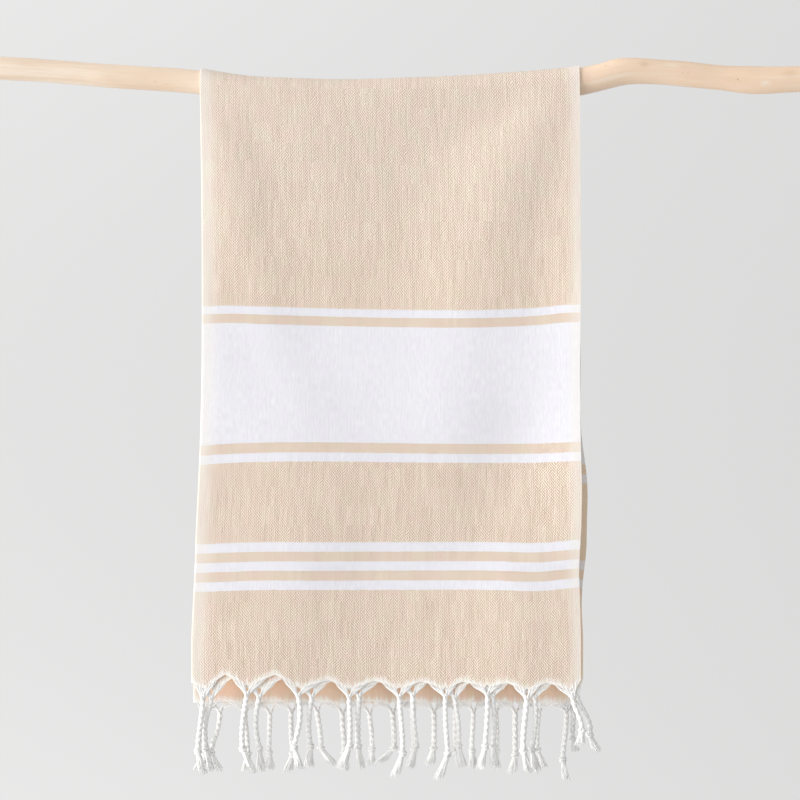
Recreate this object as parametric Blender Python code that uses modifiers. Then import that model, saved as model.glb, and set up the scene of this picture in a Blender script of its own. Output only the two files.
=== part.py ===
"""Hammam towel hung over a debarked branch.

The towel is one flat-woven cotton cloth. It is folded in half along its length, with the fold on
the left and both selvedges on the right, and it hangs over the branch at its middle, so the front
drop and the back drop each have an outer and an inner layer. At both hems the warp is twisted and
knotted into tassels.

Frame: +X runs along the branch to the viewer's right, +Y away from the viewer, +Z up. The origin is
the centre of the branch's sawn left end. Lengths are in metres, and the tables are in millimetres.
"""
import math

import bmesh
import bpy
import numpy as np
from mathutils import Vector

MM = 0.001

# ---- driving dimensions -------------------------------------------------------------------------

CLOTH_THICKNESS = 1.2 * MM
BRANCH_GAP = 0.35 * MM          # between the branch and the inner layer
LAYER_GAP_TOP = 0.6 * MM        # between the two layers where they lie on the branch
LAYER_GAP_DROP = 1.6 * MM       # between the two layers where they hang free
FOLD_PUFF = 1.4 * MM            # how far the soft fold stands open beyond that gap
FOLD_PUFF_REACH = 18 * MM
PART_GAP = 0.3 * MM             # between the cloth and the strip that carries its fringe

FRONT_PARTING = -799 * MM       # height where the front fringe strip leaves the cloth
BACK_PARTING = -833 * MM
HANG_DEPTH = 17 * MM            # half the distance between the two hanging drops
SETTLE = 110 * MM               # below the branch, where a drop takes its own plane

COLUMNS = 18                    # cells across one layer
DROP_ROWS = 13                  # cells down one drop
ARC_ROWS = 8                    # cells over the branch
FOLD_CELLS = 4                  # cells round the left fold

BRANCH_SIDES = 16
BRANCH_CHAMFER = 1.5 * MM
BRANCH_OVAL = 0.025             # how far the section departs from round
BRANCH_OVAL_TURN = 9.0          # how fast that oval turns along the branch, radians per metre
BRANCH_CELLS_LEFT = 13          # cells of the bare branch beside the towel
BRANCH_CELLS_RIGHT = 15
KNOT_SPREAD = 0.6               # reach of a knot round the branch, radians
SHARP_ANGLE = math.radians(50)

# The branch: place along it, height and depth of its heart, diameter.
BRANCH = [
    # x, height, depth, diameter
    (0, 0, 0, 31),
    (99, -2, 1, 31),
    (178, -7, 2, 30),
    (257, -13.5, 2, 30.5),
    (330, -18, 1, 30.5),
    (359, -21, 0, 30.8),
    (388, -26.5, -1, 31.5),
    (428, -32.5, -2, 32.5),
    (480, -35, -2, 33),
    (559, -37, -1, 34),
    (625, -35, 0, 34.5),
    (691, -32.5, 1, 35),
    (757, -29, 1, 35.5),
    (822, -25, 0, 36.5),
    (862, -20.5, -1, 36.5),
    (888, -15, -2, 36),
    (920, -7.5, -3, 34.5),
    (962, -7, -2, 32),
    (1004, -10, 0, 32.5),
    (1046, -14, 2, 31.8),
    (1088, -17.5, 3, 35.5),
    (1151, -16.5, 1, 34),
    (1250, -15, 0, 33.5),
]

# Knots of the branch: place along it, angle round it from the back over the top, height, reach.
KNOTS = [
    # x, angle, height, reach
    (909, 112, 1.8, 12),
    (1094, 60, 1.8, 14),
    (232, 200, 1.2, 12),
]

# The two edges of each drop by height: left fold and right selvedge.
FRONT_EDGES = [
    # height, left, right
    (-860, 344.5, 865.5),
    (-804, 346, 865),
    (-771, 349, 864),
    (-705, 352.5, 862),
    (-668, 354.3, 860.8),
    (-607, 356.3, 863.4),
    (-560, 358.6, 864),
    (-488, 361.6, 862.4),
    (-350, 364, 861.8),
    (-310, 364, 862.4),
    (-120, 363, 862.8),
    (0, 361, 862),
]
BACK_EDGES = [
    # height, left, right
    (-890, 346, 869.5),
    (-805, 348, 871),
    (-700, 353, 872),
    (-676, 354, 874),
    (-629, 356, 875),
    (-576, 358, 875),
    (-522, 360.5, 873),
    (-442, 363, 871),
    (-370, 364.5, 870.1),
    (-330, 364.7, 867.5),
    (-290, 364.7, 864),
    (-120, 363, 862),
    (0, 361, 862),
]
INNER_EXTRA = 3.5 * MM          # how much further right the inner selvedge lies at the hem
INNER_EXTRA_START = -600 * MM   # height where the two selvedges begin to part
INNER_EXTRA_REACH = 200 * MM
TOWEL_MIDDLE = 612 * MM

CREASE_FADE = 0.4               # share of a crease's length over which its end dies away
CREASE_SETTLE = 50 * MM         # below the branch's heart, where a crease has its full height

# Soft ridges and troughs of each drop. A crease runs from its upper end to its lower end; its
# height is how far it stands towards the viewer, on the front, or away, on the back.
FRONT_CREASES = [
    # x upper, z upper, x lower, z lower, half width, height
    (357, -90, 350, -460, 24, -3.4),
    (350, -460, 343, -830, 22, -2.6),
    (385, -60, 470, -400, 36, 3.0),
    (480, -30, 500, -130, 50, 2.2),
    (480, -420, 500, -640, 85, 4.6),
    (490, -640, 450, -850, 80, 4.6),
    (770, -20, 662, -120, 75, -3.6),
    (662, -120, 632, -310, 82, -3.5),
    (828, -30, 792, -100, 34, 3.4),
    (792, -100, 744, -200, 58, 6.0),
    (744, -200, 722, -330, 76, 6.4),
    (722, -330, 690, -500, 78, 4.6),
    (838, -60, 806, -220, 32, -1.6),
    (806, -220, 806, -340, 34, -1.4),
    (800, -450, 718, -650, 58, -3.5),
    (888, -260, 874, -600, 70, 8.4),
    (798, -640, 786, -850, 52, 4.0),
    (640, -600, 600, -850, 95, -2.6),
    (868, -60, 868, -830, 38, 3.4),
]
BACK_CREASES = [
    # x upper, z upper, x lower, z lower, half width, height
    (430, -80, 460, -840, 60, 3.2),
    (560, -140, 590, -840, 55, -2.6),
    (700, -90, 760, -840, 70, 3.6),
    (822, -200, 836, -840, 28, -2.4),
    (372, -250, 376, -840, 16, -1.6),
]

# Tassels, left to right: place of the root, depth of the root below the parting line, length as a
# share of a full tassel's, sideways bow of the cord, sideways sway of the knot and of the brush's
# end. Peaks are where the hem rises between two tassels.
FRONT_OUTER_TASSELS = [
    # x, root, length, bow, knot sway, end sway
    (366, 34, 1.0, 0, -6, 1),
    (424, 29, 1.02, -2.5, -5, 9),
    (491, 31, 0.95, 5, -5, 3),
    (558, 33, 0.93, 1, 1, -10),
    (624, 33, 1.06, 1, 4.5, -6),
    (685, 33, 1.08, -1, 3, -9),
    (740, 30, 0.97, 1, -3, -9),
    (792, 35, 0.97, -1, -5, 2),
    (852, 34, 0.62, 1, 12, 9),
]
FRONT_INNER_TASSELS = [
    # x, root, length, bow, knot sway, end sway
    (377, 35, 0.97, -4.5, -7, -1),
    (440, 33, 1.0, -5, 0, 2),
    (509, 33, 0.95, -3, -2, -4),
    (571, 32, 0.98, -1, -1, 3),
    (642, 31, 0.98, -1, 4, -2),
    (697, 35, 0.92, 2, 5, 12),
    (747, 32, 0.98, 2, 1, 6),
    (802, 34, 1.0, 3, -3, 3),
    (858, 33, 0.74, 4, 17, 27),
]
FRONT_OUTER_PEAKS = [
    # x, depth below the parting line
    (395, 4), (461, 4), (531, 12), (592, 13), (653, 14), (707, 14), (765, 15), (818, 15),
]
FRONT_INNER_PEAKS = [
    # x, depth below the parting line
    (407, 8), (473, 9), (538, 13), (606, 13), (669, 14), (722, 14), (775, 15), (834, 14),
]
BACK_OUTER_TASSELS = [
    # x, root, length, bow, knot sway, end sway
    (384, 24, 0.83, 2, -12, -2),
    (451, 26, 0.8, 0, -1.5, -1),
    (514, 22, 0.77, 1, 5, 22),
    (584, 26, 0.74, 1, 3.5, 2),
    (642, 24, 0.76, 0, 2, -5),
    (699, 24, 0.78, 0, 0, 8),
    (753, 24, 0.8, 1, 1, -3),
    (811, 24, 0.78, -1, -2, 5),
    (857, 25, 0.55, 0, -1.5, 3),
]
BACK_INNER_TASSELS = [
    # x, root, length, bow, knot sway, end sway
    (362, 24, 0.78, 1, 3, -4),
    (418, 25, 0.8, 0, 4, 3),
    (480, 24, 0.82, -1, 2, -5),
    (548, 25, 0.79, 0, 3, 4),
    (615, 24, 0.7, 1, 2, -17),
    (670, 24, 0.72, 1, 0, -6),
    (723, 24, 0.77, 0, -2, 0),
    (779, 24, 0.84, 0, 0, -5),
    (847, 24, 0.92, 1, -5, 0),
]
BACK_OUTER_PEAKS = [
    # x, depth below the parting line
    (417, 12), (483, 12), (550, 11), (614, 12), (670, 11), (726, 12), (782, 12), (834, 13),
]
BACK_INNER_PEAKS = [
    # x, depth below the parting line
    (390, 12), (449, 12), (514, 12), (582, 11), (643, 11), (697, 12), (751, 12), (813, 13),
]
LEFT_END_PEAK = 13 * MM         # depth of the strip at the fold
RIGHT_END_PEAK = 17 * MM        # depth of the strip at the selvedges

# The small opening where a tassel's two legs leave the hem, above its root, and the legs' arch.
EYE_TOP = 13 * MM
EYE_SIDE = 8 * MM
EYE_BOTTOM = 3.5 * MM
EYE_HALF_WIDTH = 3.6 * MM
ROOT_HALF_WIDTH = 2.8 * MM
LEG_SHARE = 0.6                 # place of the leg's middle point between the peak and the root
LEG_FALL = 0.52                 # how far the leg has come down there

# One tassel: distance below its root, half width, half depth, turn of the four-sided section.
TASSEL = [
    # drop, half width, half depth, turn
    (-3, 1.5, 1.5, 0),
    (2, 2.9, 2.9, 30),
    (17, 3.2, 3.2, 80),
    (32, 3.2, 3.2, 130),
    (47, 3.2, 3.2, 180),
    (62, 3.2, 3.2, 230),
    (66, 5.2, 4.6, 270),
    (73, 5.0, 4.4, 270),
    (77, 3.1, 2.8, 270),
    (99, 5.6, 3.2, 270),
]
KNOT_DROP = 70 * MM
END_DROP = TASSEL[-1][0] * MM
OUTER_LEAN = 6 * MM             # how far a tassel leans out, away from the space between the drops
INNER_LEAN = -2.5 * MM


# ---- curves, branch and cloth as functions ------------------------------------------------------

def curve_through(rows, column, at):
    """Height at one place of the smooth curve through a table's column, in millimetres."""
    places = [row[0] for row in rows]
    values = [row[column] for row in rows]
    slopes = np.gradient(values, places)
    at = min(max(at, places[0]), places[-1])
    i = min(int(np.searchsorted(places, at, side="right")) - 1, len(rows) - 2)
    span = places[i + 1] - places[i]
    t = (at - places[i]) / span
    start = (2 * t**3 - 3 * t**2 + 1) * values[i] + (t**3 - 2 * t**2 + t) * span * slopes[i]
    end = (3 * t**2 - 2 * t**3) * values[i + 1] + (t**3 - t**2) * span * slopes[i + 1]
    return float(start + end)


def ease(t):
    """Smooth step from 0 to 1."""
    t = min(max(t, 0.0), 1.0)
    return t * t * (3 - 2 * t)


def heart(x):
    """Centre of the branch's section at x."""
    return Vector((x, curve_through(BRANCH, 2, x / MM) * MM, curve_through(BRANCH, 1, x / MM) * MM))


def branch_radius(x, angle):
    """Radius at x and at an angle that runs from the back over the top to the front."""
    radius = curve_through(BRANCH, 3, x / MM) * MM / 2
    radius *= 1 + BRANCH_OVAL * math.cos(2 * angle + x * BRANCH_OVAL_TURN)
    for knot_x, knot_angle, height, reach in KNOTS:
        along = (x / MM - knot_x) / reach
        turn = math.remainder(angle - math.radians(knot_angle), math.tau) / KNOT_SPREAD
        radius += height * MM * math.exp(-along**2 - turn**2)
    return radius


def round_branch(x, angle, rise):
    """Point at a distance above the branch's surface."""
    reach = branch_radius(x, angle) + rise
    return heart(x) + Vector((0, math.cos(angle), math.sin(angle))) * reach


def crease_height(creases, x, z):
    """Sum of a drop's soft ridges and troughs at one place."""
    total = 0.0
    for x_up, z_up, x_low, z_low, half_width, height in creases:
        along = (z / MM - z_up) / (z_low - z_up)
        middle = x_up + (x_low - x_up) * along
        fade = ease(along / CREASE_FADE + 0.5) * ease((1 - along) / CREASE_FADE + 0.5)
        total += height * fade * math.exp(-((x / MM - middle) / half_width) ** 2)
    return total * MM * ease((heart(x).z - z) / CREASE_SETTLE)


DROPS = {
    # drop: side of the branch, angle of its tangent, parting height, edges, creases
    "front": (-1, math.pi, FRONT_PARTING, FRONT_EDGES, FRONT_CREASES),
    "back": (1, 0.0, BACK_PARTING, BACK_EDGES, BACK_CREASES),
}


def layer_rise(outer, from_fold, settled):
    """Distance of a layer's middle from the branch's side."""
    rise = BRANCH_GAP + CLOTH_THICKNESS / 2
    if outer:
        gap = LAYER_GAP_TOP + (LAYER_GAP_DROP - LAYER_GAP_TOP) * settled
        gap += FOLD_PUFF * settled * math.exp(-from_fold / FOLD_PUFF_REACH)
        rise += CLOTH_THICKNESS + gap
    return rise


def fold_radius(settled):
    """Half the distance between the two layers' middles at the left fold."""
    return (layer_rise(True, 0, settled) - layer_rise(False, 0, settled)) / 2


def settled_at(x, z):
    """0 at the branch's height, growing to 1 where the drop hangs in its own plane."""
    return ease((heart(x).z - z) / SETTLE)


def drop_edges(side, z, outer, settled):
    """Left and right end of a layer at one height; the left fold's turn lies outside them."""
    edges = DROPS[side][3]
    left = curve_through(edges, 1, z / MM) * MM + fold_radius(settled) + CLOTH_THICKNESS / 2
    right = curve_through(edges, 2, z / MM) * MM - CLOTH_THICKNESS / 2
    if not outer:
        right += INNER_EXTRA * ease((INNER_EXTRA_START - z) / INNER_EXTRA_REACH)
    return left, right


def drop_point(side, outer, x, z):
    """Middle of a hanging layer at one place and height."""
    sign, tangent, _, _, creases = DROPS[side]
    settled = settled_at(x, z)
    left, _ = drop_edges(side, z, outer, settled)
    at_branch = heart(x).y + sign * branch_radius(x, tangent)
    base = at_branch + (sign * HANG_DEPTH - at_branch) * settled
    away = crease_height(creases, x, z) + layer_rise(outer, x - left, settled)
    return Vector((x, base + sign * away, z))


def top_columns():
    """Places along the branch that the cloth's columns and the branch's rings share."""
    left, right = drop_edges("front", 0.0, True, 0.0)
    return np.linspace(left, right, COLUMNS + 1)


# ---- building helpers ---------------------------------------------------------------------------

def new_object(name, mesh, collection):
    item = bpy.data.objects.new(name, mesh)
    collection.objects.link(item)
    return item


def mesh_from(bm, name):
    mesh = bpy.data.meshes.new(name)
    bm.to_mesh(mesh)
    bm.free()
    return mesh


def loft(bm, rings):
    """Closed skin over a row of rings that all have the same number of points."""
    loops = [[bm.verts.new(point) for point in ring] for ring in rings]
    count = len(loops[0])
    for low, high in zip(loops, loops[1:]):
        for i in range(count):
            j = (i + 1) % count
            bm.faces.new((low[i], low[j], high[j], high[i]))
    bm.faces.new(reversed(loops[0]))
    bm.faces.new(loops[-1])


def paint(item, name, colour, roughness):
    material = bpy.data.materials.new(name)
    material.use_nodes = True
    shader = material.node_tree.nodes["Principled BSDF"]
    shader.inputs["Base Color"].default_value = (*colour, 1)
    shader.inputs["Roughness"].default_value = roughness
    shader.inputs["Metallic"].default_value = 0
    item.data.materials.append(material)


def thicken(item):
    solid = item.modifiers.new("Cloth thickness", "SOLIDIFY")
    solid.thickness = CLOTH_THICKNESS
    solid.offset = 0
    solid.use_even_offset = True


# ---- the pieces ---------------------------------------------------------------------------------

def make_branch(collection):
    """Lofts the branch through rings that lie under the cloth's own columns."""
    shared = top_columns()
    length = BRANCH[-1][0] * MM
    before = np.linspace(0, shared[0], BRANCH_CELLS_LEFT + 1)[1:-1]
    after = np.linspace(shared[-1], length, BRANCH_CELLS_RIGHT + 1)[1:-1]
    stations = [(0, -BRANCH_CHAMFER), (BRANCH_CHAMFER, 0)]
    stations += [(x, 0) for x in (*before, *shared, *after)]
    stations += [(length - BRANCH_CHAMFER, 0), (length, -BRANCH_CHAMFER)]
    angles = [math.tau * i / BRANCH_SIDES for i in range(BRANCH_SIDES)]
    bm = bmesh.new()
    loft(bm, [[round_branch(x, angle, rise) for angle in angles] for x, rise in stations])
    bmesh.ops.recalc_face_normals(bm, faces=bm.faces)
    branch = new_object("branch", mesh_from(bm, "branch"), collection)
    branch.data.shade_smooth()
    branch.data.set_sharp_from_angle(angle=SHARP_ANGLE)
    paint(branch, "debarked wood", (0.72, 0.56, 0.40), 0.6)


def cloth_column(side_of_fold, x_share, row):
    """Middle of the cloth at one column and one row; rows run front hem, branch, back hem."""
    outer = side_of_fold == "outer"
    if row <= DROP_ROWS or row >= DROP_ROWS + ARC_ROWS:
        side = "front" if row <= DROP_ROWS else "back"
        steps = DROP_ROWS - row if side == "front" else row - DROP_ROWS - ARC_ROWS
        share = steps / DROP_ROWS
        parting = DROPS[side][2]
        z = parting * share
        left, right = drop_edges(side, z, outer, settled_at(TOWEL_MIDDLE, z))
        x = left + (right - left) * x_share
        z = heart(x).z + (parting - heart(x).z) * share
        return drop_point(side, outer, x, z)
    angle = math.pi * (1 - (row - DROP_ROWS) / ARC_ROWS)
    left, right = top_columns()[0], top_columns()[-1]
    return round_branch(left + (right - left) * x_share, angle, layer_rise(outer, 1, 0))


def turn_round_fold(outer_end, inner_end, share):
    """Point on the half turn from the outer layer's left end to the inner layer's."""
    middle = (outer_end + inner_end) / 2
    arm = (outer_end - inner_end) / 2
    angle = math.pi * share
    return middle + arm * math.cos(angle) - Vector((arm.length * math.sin(angle), 0, 0))


def make_towel(collection):
    """Lays a flat grid into the folded and hung shape, then gives it its thickness."""
    across = 2 * COLUMNS + FOLD_CELLS
    along = 2 * DROP_ROWS + ARC_ROWS
    bm = bmesh.new()
    bmesh.ops.create_grid(bm, x_segments=across, y_segments=along, size=0.5)
    bm.verts.ensure_lookup_table()
    for vert in bm.verts:
        column = round((vert.co.x + 0.5) * across)
        row = round((vert.co.y + 0.5) * along)
        outer_end = cloth_column("outer", 0, row)
        inner_end = cloth_column("inner", 0, row)
        if column <= COLUMNS:
            vert.co = cloth_column("outer", 1 - column / COLUMNS, row)
        elif column >= COLUMNS + FOLD_CELLS:
            vert.co = cloth_column("inner", (column - COLUMNS - FOLD_CELLS) / COLUMNS, row)
        else:
            vert.co = turn_round_fold(outer_end, inner_end, (column - COLUMNS) / FOLD_CELLS)
    towel = new_object("towel", mesh_from(bm, "towel"), collection)
    towel.data.shade_smooth()
    thicken(towel)
    paint(towel, "beige cotton", (0.74, 0.60, 0.47), 0.9)


def hem_cell(bm, place, left, right, tassel):
    """One scallop of the hem: the strip, two arched legs and the eye between them."""
    x, root = tassel[0] * MM, tassel[1] * MM
    points = {
        "top left": (left[0], 0), "top": (x, 0), "top right": (right[0], 0),
        "peak left": left, "peak right": right,
        "leg left": (left[0] + (x - left[0]) * LEG_SHARE, left[1] + (root - left[1]) * LEG_FALL),
        "leg right": (right[0] + (x - right[0]) * LEG_SHARE, right[1] + (root - right[1]) * LEG_FALL),
        "eye left": (x - EYE_HALF_WIDTH, root - EYE_SIDE), "eye top": (x, root - EYE_TOP),
        "eye right": (x + EYE_HALF_WIDTH, root - EYE_SIDE), "eye bottom": (x, root - EYE_BOTTOM),
        "root left": (x - ROOT_HALF_WIDTH, root), "root right": (x + ROOT_HALF_WIDTH, root),
    }
    faces = [
        ("top left", "peak left", "leg left", "eye left", "eye top", "top"),
        ("top", "eye top", "eye right", "leg right", "peak right", "top right"),
        ("leg left", "root left", "eye bottom", "eye left"),
        ("leg right", "eye right", "eye bottom", "root right"),
        ("root left", "root right", "eye bottom"),
    ]
    verts = {name: bm.verts.new(place(*point)) for name, point in points.items()}
    for face in faces:
        bm.faces.new([verts[name] for name in face])


def tassel_rings(place, tassel, lean):
    """Rings of one tassel: a twisted cord, its knot and the loose brush below it."""
    x, root, length, bow, knot_sway, end_sway = tassel
    root_point = place(x * MM, root * MM)
    rings = []
    for drop, half_width, half_depth, turn in TASSEL:
        to_knot = max(drop * MM / KNOT_DROP, 0)
        to_end = max(drop * MM - KNOT_DROP, 0) / (END_DROP - KNOT_DROP)
        sway = knot_sway * ease(to_knot) + (end_sway - knot_sway) * to_end
        sway += bow * math.sin(math.pi * min(to_knot, 1))
        centre = root_point + Vector((sway * MM, lean * to_knot, -drop * length * MM))
        ring = []
        for corner in range(4):
            angle = math.radians(45 + turn) + math.pi / 2 * corner
            spread = math.sqrt(2) * MM
            ring.append(centre + Vector((half_width * spread * math.cos(angle),
                                         half_depth * spread * math.sin(angle), 0)))
        rings.append(ring)
    return rings


def make_fringe(name, side, layers, collection, cutters):
    """A narrow strip of the hem round both layers, with its scallops, legs and tassels."""
    sign, _, parting, _, _ = DROPS[side]
    top = parting - PART_GAP

    def placer(outer):
        return lambda x, down: drop_point(side, outer, x, top - down)

    strip = bmesh.new()
    cords = bmesh.new()
    ends = {}
    for outer, tassels, peaks in layers:
        place = placer(outer)
        left, right = drop_edges(side, top, outer, settled_at(TOWEL_MIDDLE, top))
        bounds = [(left, LEFT_END_PEAK)]
        bounds += [(x * MM, depth * MM) for x, depth in peaks]
        bounds += [(right, RIGHT_END_PEAK)]
        for tassel, start, end in zip(tassels, bounds, bounds[1:]):
            hem_cell(strip, place, start, end, tassel)
            lean = sign * (OUTER_LEAN if outer else INNER_LEAN)
            loft(cords, tassel_rings(place, tassel, lean))
        ends[outer] = (place(left, 0), place(left, LEFT_END_PEAK))
    for cell in range(FOLD_CELLS):
        shares = (cell / FOLD_CELLS, (cell + 1) / FOLD_CELLS)
        corners = [turn_round_fold(ends[True][level], ends[False][level], share)
                   for share, level in zip((*shares, *reversed(shares)), (0, 0, 1, 1))]
        strip.faces.new([strip.verts.new(corner) for corner in corners])
    bmesh.ops.remove_doubles(strip, verts=strip.verts, dist=0.01 * MM)
    bmesh.ops.recalc_face_normals(strip, faces=strip.faces)
    bmesh.ops.recalc_face_normals(cords, faces=cords.faces)

    fringe = new_object(name, mesh_from(strip, name), collection)
    thicken(fringe)
    tassels_item = new_object(name + "_cords", mesh_from(cords, name + "_cords"), cutters)
    tassels_item.hide_render = True
    tassels_item.display_type = "WIRE"
    union = fringe.modifiers.new("Tassels", "BOOLEAN")
    union.operation = "UNION"
    union.solver = "EXACT"
    union.object = tassels_item
    paint(fringe, "white cotton yarn " + side, (0.88, 0.87, 0.85), 0.9)


def build():
    for item in list(bpy.data.objects):
        bpy.data.objects.remove(item, do_unlink=True)
    parts = bpy.data.collections.new("hammam_towel")
    cutters = bpy.data.collections.new("cutters")
    for collection in (parts, cutters):
        bpy.context.scene.collection.children.link(collection)
    make_branch(parts)
    make_towel(parts)
    make_fringe("fringe_front", "front", [
        (True, FRONT_OUTER_TASSELS, FRONT_OUTER_PEAKS),
        (False, FRONT_INNER_TASSELS, FRONT_INNER_PEAKS),
    ], parts, cutters)
    make_fringe("fringe_back", "back", [
        (True, BACK_OUTER_TASSELS, BACK_OUTER_PEAKS),
        (False, BACK_INNER_TASSELS, BACK_INNER_PEAKS),
    ], parts, cutters)


build()
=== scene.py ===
import math
import random

import bmesh
import bpy
from mathutils import Matrix, Vector, noise


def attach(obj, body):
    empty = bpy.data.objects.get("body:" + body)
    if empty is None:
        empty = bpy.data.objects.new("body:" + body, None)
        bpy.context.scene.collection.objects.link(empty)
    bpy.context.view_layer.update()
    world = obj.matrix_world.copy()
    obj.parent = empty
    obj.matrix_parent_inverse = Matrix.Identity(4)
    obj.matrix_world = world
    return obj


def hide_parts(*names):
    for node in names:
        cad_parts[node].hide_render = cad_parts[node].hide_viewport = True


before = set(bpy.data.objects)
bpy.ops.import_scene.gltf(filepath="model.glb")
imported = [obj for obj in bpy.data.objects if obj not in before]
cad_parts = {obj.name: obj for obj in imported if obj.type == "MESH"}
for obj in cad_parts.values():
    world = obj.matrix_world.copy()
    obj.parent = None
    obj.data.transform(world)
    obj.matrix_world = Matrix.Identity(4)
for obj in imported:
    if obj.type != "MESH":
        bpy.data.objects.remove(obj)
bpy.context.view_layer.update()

# ---- The branch ---------------------------------------------------------------------------------
# A debarked hardwood stick, dried and rubbed smooth by hand, with a few small knots left by its
# twigs. It is cut off square with a fine saw at both ends, and the towel hangs over its middle.

MM = 0.001
BRANCH = [
    # x, height, depth, diameter
    (0, 0, 0, 31),
    (99, -2, 1, 31),
    (178, -7, 2, 30),
    (257, -13.5, 2, 30.5),
    (330, -18, 1, 30.5),
    (359, -21, 0, 30.8),
    (388, -26.5, -1, 31.5),
    (428, -32.5, -2, 32.5),
    (480, -35, -2, 33),
    (559, -37, -1, 34),
    (625, -35, 0, 34.5),
    (691, -32.5, 1, 35),
    (757, -29, 1, 35.5),
    (822, -25, 0, 36.5),
    (862, -20.5, -1, 36.5),
    (888, -15, -2, 36),
    (920, -7.5, -3, 34.5),
    (962, -7, -2, 32),
    (1004, -10, 0, 32.5),
    (1046, -14, 2, 31.8),
    (1088, -17.5, 3, 35.5),
    (1151, -16.5, 1, 34),
    (1250, -15, 0, 33.5),
]
KNOTS = [
    # x, angle, height, reach
    (909, 112, 1.8, 12),
    (1094, 60, 1.8, 14),
    (232, 200, 1.2, 12),
]
KNOT_SPREAD = 0.6  # reach of a knot round the branch, radians
BRANCH_OVAL = 0.025  # how far the section departs from round
BRANCH_OVAL_TURN = 9.0  # how fast that oval turns along the branch
BRANCH_SIDES = 48
BRANCH_CUTS = 180
SAW_BEVEL = 1.2 * MM
COVERED = (350 * MM, 875 * MM)  # stretch under the towel, smooth all round
COVER_FADE = 30 * MM
BUMP = 0.5 * MM  # height of the skin's long swellings
DENT = 0.25 * MM  # depth of its short dents


def curve_through(rows, column, place):
    """Value at one place of the smooth curve through a column of a table in millimetres."""
    at = min(max(place / MM, rows[0][0]), rows[-1][0])
    i = 0
    while i < len(rows) - 2 and rows[i + 1][0] <= at:
        i += 1

    def slope(k):
        before, after = max(k - 1, 0), min(k + 1, len(rows) - 1)
        if before == k or after == k:
            return (rows[after][column] - rows[before][column]) / (rows[after][0] - rows[before][0])
        left, right = rows[k][0] - rows[before][0], rows[after][0] - rows[k][0]
        rise_left = (rows[k][column] - rows[before][column]) / left
        rise_right = (rows[after][column] - rows[k][column]) / right
        return (rise_left * right + rise_right * left) / (left + right)

    span = rows[i + 1][0] - rows[i][0]
    t = (at - rows[i][0]) / span
    start = (2 * t**3 - 3 * t**2 + 1) * rows[i][column] + (t**3 - 2 * t**2 + t) * span * slope(i)
    end = (3 * t**2 - 2 * t**3) * rows[i + 1][column] + (t**3 - t**2) * span * slope(i + 1)
    return (start + end) * MM


def ease(t):
    t = min(max(t, 0.0), 1.0)
    return t * t * (3 - 2 * t)


def heart(x):
    """Centre of the branch's section at x."""
    return Vector((x, curve_through(BRANCH, 2, x), curve_through(BRANCH, 1, x)))


def branch_radius(x, angle):
    """Radius at x and at an angle that runs from the back over the top to the front."""
    radius = curve_through(BRANCH, 3, x) / 2
    radius *= 1 + BRANCH_OVAL * math.cos(2 * angle + x * BRANCH_OVAL_TURN)
    for knot_x, knot_angle, height, reach in KNOTS:
        along = (x / MM - knot_x) / reach
        turn = math.remainder(angle - math.radians(knot_angle), math.tau) / KNOT_SPREAD
        radius += height * MM * math.exp(-along**2 - turn**2)
    return radius


bpy.ops.object.select_all(action="DESELECT")
bpy.ops.mesh.primitive_cylinder_add(vertices=BRANCH_SIDES, radius=0.5, depth=1,
                                    rotation=(0, math.pi / 2, 0))
branch = bpy.context.active_object
branch.name = "debarked_branch"
bpy.ops.object.transform_apply(location=True, rotation=True, scale=True)
bpy.ops.object.mode_set(mode="EDIT")
bpy.ops.mesh.select_all(action="DESELECT")
skin = bmesh.from_edit_mesh(branch.data)
for edge in skin.edges:
    edge.select = abs(edge.verts[0].co.x - edge.verts[1].co.x) > 0.5
bmesh.update_edit_mesh(branch.data)
bpy.ops.mesh.subdivide(number_cuts=BRANCH_CUTS)
skin = bmesh.from_edit_mesh(branch.data)
length = BRANCH[-1][0] * MM
for vert in skin.verts:
    x = (vert.co.x + 0.5) * length
    angle = math.atan2(vert.co.z, vert.co.y)
    radius = branch_radius(x, angle)
    bare = ease((COVERED[0] - x) / COVER_FADE) + ease((x - COVERED[1]) / COVER_FADE)
    bumps = noise.noise(Vector((x * 22, math.cos(angle) * 1.3, math.sin(angle) * 1.3)))
    dents = noise.noise(Vector((x * 60, math.cos(angle) * 2.6, math.sin(angle) * 2.6 + 9)))
    radius += (bumps * BUMP + dents * DENT) * bare
    vert.co = heart(x) + Vector((0, math.cos(angle), math.sin(angle))) * radius
for edge in skin.edges:
    edge.select = any(len(face.verts) > 4 for face in edge.link_faces)
bmesh.update_edit_mesh(branch.data)
bpy.ops.mesh.bevel(offset=SAW_BEVEL, segments=3, affect="EDGES")
bpy.ops.mesh.select_all(action="SELECT")
bpy.ops.mesh.normals_make_consistent(inside=False)
skin = bmesh.from_edit_mesh(branch.data)
lengthwise = skin.loops.layers.uv.new("lengthwise")
crosswise = skin.loops.layers.uv.new("crosswise")
for face in skin.faces:
    for loop in face.loops:
        from_heart = loop.vert.co - heart(loop.vert.co.x)
        loop[lengthwise].uv = (loop.vert.co.x, -from_heart.y)
        loop[crosswise].uv = (from_heart.z, 0)
bmesh.update_edit_mesh(branch.data)
bpy.ops.object.mode_set(mode="OBJECT")
bpy.ops.object.shade_smooth_by_angle(angle=math.radians(40))


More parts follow.
